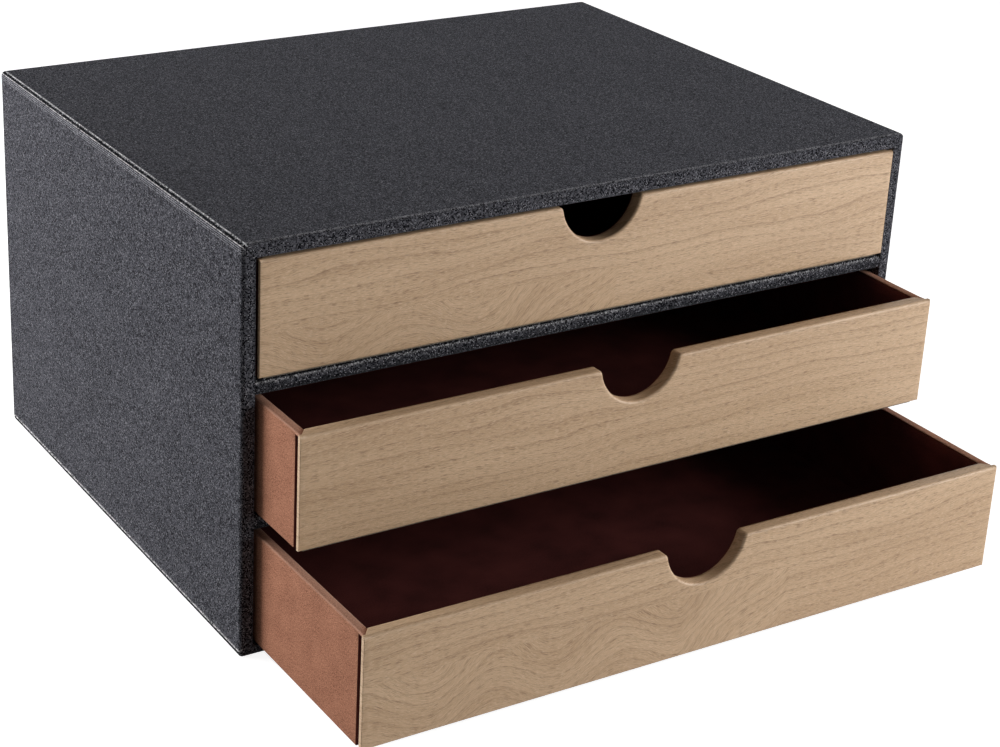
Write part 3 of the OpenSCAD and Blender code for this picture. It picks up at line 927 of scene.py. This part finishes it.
# Lining of a drawer: the floor, two sides and the back are flat grids, and the front is ruled
# between the floor and the notched upper edge, which is cut off level with the other walls.
def drawerInside(drawer, style):
    low, high = boxMm(drawer + "_lining")
    t = style["thickness"]
    west, south, floor = low + t
    east, north = (high - t)[:2]
    rim = high[2]
    edgeTop = boxMm(drawer + "_facing_skin")[1][2]
    edge, _ = upperEdge(east, 0.0, oakFront)
    feet = columnFeet(edge[:, 0], oakFront["fan"])[:, None]
    y = span(south, north, style["step"])[:, None]
    z = span(floor, rim, (rim - floor) / style["rows"])[None, :]
    rise = (z - floor) / (rim - floor)
    frontTop = np.minimum(edge[:, 1:] + edgeTop, rim)
    frontX = feet + (edge[:, :1] - feet) * rise
    frontZ = floor + (frontTop - floor) * rise
    x = west + (east - west) * np.linspace(0, 1, style["columns"] + 1)[None, :]
    sheets = [sheet(grid(x, y, floor), grid(x, y)),
              sheet(grid(west, y, z), grid(y, z)), sheet(grid(east, y, z), grid(y, z)),
              sheet(grid(feet, north, z), grid(feet, z)),
              sheet(grid(frontX, south, frontZ), grid(frontX, frontZ))]
    piece = makePiece(drawer + "Inside", sheets, [darkPaper], (0, 0, -1), (0, 0, 1))
    thicken(piece, t)
    install(piece, drawer + "_drawer", drawer + "_lining")


drawerWrap = {
    "wallThickness": 3.9,     # board, wrap and lining together
    "rimRadius": 0.8,         # outer edge of the rim
    "innerRadius": 0.4,       # inner edge of the rim
    "footRadius": 0.6,        # edge along the underside
    "cornerRadius": 1.5,      # upright edges at the back
    "tabHeight": 1.0,         # the strip that closes the corner beside the front wall
    "outerPale": 0.35,        # how pale the rim's outer edge, its inner edge and all of it are: wear and painted highlights
    "innerPale": 0.9,
    "rimPale": 0.12,
    "tabPale": 0.3,           # and the strip's outer edge
    "underRows": (8.0, 30.0, 60.0, 100.0),  # mm in from the outer face, of the underside's rows
    "thickness": 0.4,
    "step": 5.0,
    "arcSteps": 5,
    "innerSteps": 3,
    "faceStep": 6.0,
    "tabStep": 0.1,
}


# Section of a wrapped wall, as the distance d in from the outer face and the height z: from the
# underside round the foot, up the outer face and over the rim to the lining.
def wallSection(rim, style):
    t, r, s, f = (style[key] for key in ("wallThickness", "rimRadius", "innerRadius", "footRadius"))
    foot = arc(f, f, f, 270, 180, style["innerSteps"])
    tab = rim - style["tabHeight"]
    face = np.append(span(f, tab, style["faceStep"])[1:], span(tab, rim - r, style["tabStep"])[1:-1])
    outer = arc(r, rim - r, r, 180, 90, style["arcSteps"])
    inner = arc(t - s, rim - s, s, 90, 0, style["innerSteps"])
    return np.concatenate([foot, np.stack([0 * face, face], -1), outer, inner])


# Half width of the oak fold at a depth y, where the tab meets it on a mitre: a straight line from
# the front's corner to the inner corner of the box.
def tabX(drawer, y):
    low, high = boxMm(drawer + "_facing_skin")
    return high[0] - (high[0] - innerHalf(drawer)) * (y - low[1]) / (high[1] - low[1])


# Rust paper round a drawer's box. The wall's section is carried along a U: up one side, round
# the back and down the other. A point at distance d goes to edge + inward * d, and is then held
# to its own side of the inner corners. The underside is the same section carried on inwards until
# it meets in the middle. Ends of dark paper close the walls at the front, as painted shade in the
# narrow slit behind the facing, and tabs run on to the facing. The rim is made pale by humps of d
# and z: wear and painted highlights of its edges.
def drawerBox(drawer, style):
    low, high = boxMm(drawer + "_wrap")
    front = boxMm(drawer + "_facing_skin")[1][1]
    half, back, rim = high[0], high[1], high[2] - low[2]
    r = style["cornerRadius"]
    section = wallSection(rim, style)
    side = span(front, back - r, style["step"])
    bend = arc(-half + r, back - r, r, 180, 90, style["arcSteps"])[1:-1]
    bendIn = ([-half + r, back - r] - bend) / r
    rear = span(-half + r, half - r, style["step"])
    flip = [-1, 1]
    path = np.concatenate([grid(-half, side), bend, grid(rear, back), bend[::-1] * flip,
                           grid(half, side[::-1])])
    inward = np.concatenate([np.tile([1.0, 0.0], (len(side), 1)), bendIn,
                             np.tile([0.0, -1.0], (len(rear), 1)), bendIn[::-1] * flip,
                             np.tile([-1.0, 0.0], (len(side), 1))])
    atBend = np.linalg.norm(inward * inward[:, ::-1], axis=1) > 1e-9
    length = travelled(path)

    def carry(d, z):
        reach = np.where(atBend[None, :], np.minimum(d, r), d)
        x = path[:, 0] + inward[:, 0] * reach
        y = path[:, 1] + inward[:, 1] * reach
        return grid(np.clip(x, -half + d, half - d), np.minimum(y, back - d), low[2] + z)

    d, z = section[:, :1], section[:, 1:]
    wall = style["wallThickness"]
    # pale rim: wear and painted highlights on its edges and top
    paleEdge = (style["outerPale"] * bell(d, 0.3, 0.4) * bell(z, rim, 0.6)
              + style["innerPale"] * bell(d, wall, 0.35) * bell(z, rim, 0.4)
              + style["rimPale"] * smoothStep(z, rim - 0.3, rim))
    sheets = [sheet(carry(d, z), grid(length, travelled(section)[:, None]), pale=paleEdge)]
    under = np.array([style["footRadius"], *style["underRows"], half])[:, None]
    bottom = carry(under, 0.0)
    sheets.append(sheet(bottom, bottom[..., :2]))
    tabFoot, hair = rim - style["tabHeight"], 1e-6
    lower = z[:, 0] <= tabFoot + hair
    capD, capZ = d[lower], z[lower]
    capX = capD + (wall - capD) * np.array([[0.0, 0.5, 1.0]])
    strip = section[z[:, 0] >= tabFoot - hair]
    stripFlat = travelled(strip)[:, None]
    stripPale = style["tabPale"] * bell(strip[:, :1], 0.3, 0.5)
    tabY = span(low[1], front, 0.8)
    mitre = (half - tabX(drawer, tabY)) / wall
    for hand in (-1, 1):
        # dark paper on the walls' front ends: painted shade of the slit behind the facing
        cap = grid(hand * (half - capX), front, low[2] + capZ)
        sheets.append(sheet(cap, grid(capX, capZ), slot=1))
        tab = grid(hand * (half - strip[:, :1] * mitre), tabY[None, :], low[2] + strip[:, 1:])
        sheets.append(sheet(tab, grid(tabY[None, :], stripFlat), pale=stripPale))
    piece = makePiece(drawer + "BoxPaper", sheets, [rust, darkPaper], (0, 0, -1))
    thicken(piece, style["thickness"])
    install(piece, drawer + "_drawer", drawer + "_wrap")


for drawer in drawers:
    oakSkin(drawer, oakFront)
    drawerBox(drawer, drawerWrap)
    drawerInside(drawer, drawerLining)
print("drawers made")

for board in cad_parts.values():
    board.data.materials.clear()
    board.data.materials.append(fibreboard)

studio = {
    "floorSize": 2.4,         # m
    "floorTone": 0.5,         # what the floor gives back of the lamps' light
    "floorGlow": 0.9,         # its own light, seen only by the camera
    "fill": 0.05,             # light from all around
}


# Light that only the camera sees, directly or through gloss and glass.
def seenOnly(tree):
    path = tree.nodes.new("ShaderNodeLightPath")
    seen = calc(tree, "MAXIMUM", path.outputs["Is Camera Ray"], path.outputs["Is Glossy Ray"])
    return calc(tree, "MAXIMUM", seen, path.outputs["Is Transmission Ray"])


def makeFloor(look):
    half = look["floorSize"] / 2
    mesh = bpy.data.meshes.new("floor")
    corners = [(-half, -half, 0), (half, -half, 0), (half, half, 0), (-half, half, 0)]
    mesh.from_pydata(corners, [], [(0, 1, 2, 3)])
    floor = bpy.data.objects.new("floor", mesh)
    bpy.context.scene.collection.objects.link(floor)
    material, tree, shader = newMaterial("paleFloor", {"roughness": 0.9, "specular": 0.1})
    shader.inputs["Base Color"].default_value = (look["floorTone"],) * 3 + (1,)
    shader.inputs["Emission Color"].default_value = (1, 1, 1, 1)
    tree.links.new(times(tree, seenOnly(tree), look["floorGlow"]), shader.inputs["Emission Strength"])
    mesh.materials.append(material)


def makeWorld(look):
    world = bpy.data.worlds.new("studio")
    world.use_nodes = True
    tree = world.node_tree
    background = tree.nodes["Background"]
    background.inputs["Color"].default_value = (1, 1, 1, 1)
    strength = add(tree, look["fill"], times(tree, seenOnly(tree), 1 - look["fill"]))
    tree.links.new(strength, background.inputs["Strength"])
    bpy.context.scene.world = world


# towards is the direction in plan, and rise the height above the horizon in degrees
lamps = {
    "sideSoftbox": {"towards": (-0.82, 0.57), "rise": 11.0, "distance": 1.15, "size": 0.85, "watts": 19.5},
    "frontSoftbox": {"towards": (0.76, -0.65), "rise": 12.0, "distance": 1.3, "size": 0.8, "watts": 16.5},
}
lampAim = (0, 0, 0.08)


# Square lamp that is turned to face lampAim, from a given direction and distance.
def makeLamp(name, look):
    lamp = bpy.data.lights.new(name, "AREA")
    lamp.size = look["size"]
    lamp.energy = look["watts"]
    holder = bpy.data.objects.new(name, lamp)
    bpy.context.scene.collection.objects.link(holder)
    level = Vector((*look["towards"], 0)).normalized() * math.cos(math.radians(look["rise"]))
    reach = (level + Vector((0, 0, math.sin(math.radians(look["rise"]))))) * look["distance"]
    holder.location = Vector(lampAim) + reach
    holder.rotation_euler = reach.to_track_quat("Z", "Y").to_euler()


makeFloor(studio)
makeWorld(studio)
for name, look in lamps.items():
    makeLamp(name, look)

cameraSetup = {
    "place": (-0.5177, -0.8321, 0.4819),
    "turnDeg": (67.797, -1.877, -30.153),
    "lensMm": 79.15,
    "shift": (0.1, -0.0735),
}


def makeCamera(look):
    camera = bpy.data.cameras.new("camera")
    camera.lens = look["lensMm"]
    camera.shift_x, camera.shift_y = look["shift"]
    camera.clip_start = 0.05
    holder = bpy.data.objects.new("camera", camera)
    holder.location = look["place"]
    holder.rotation_euler = [math.radians(turn) for turn in look["turnDeg"]]
    bpy.context.scene.collection.objects.link(holder)
    bpy.context.scene.camera = holder


makeCamera(cameraSetup)
bpy.context.scene.view_settings.view_transform = "Standard"
print("stage set")
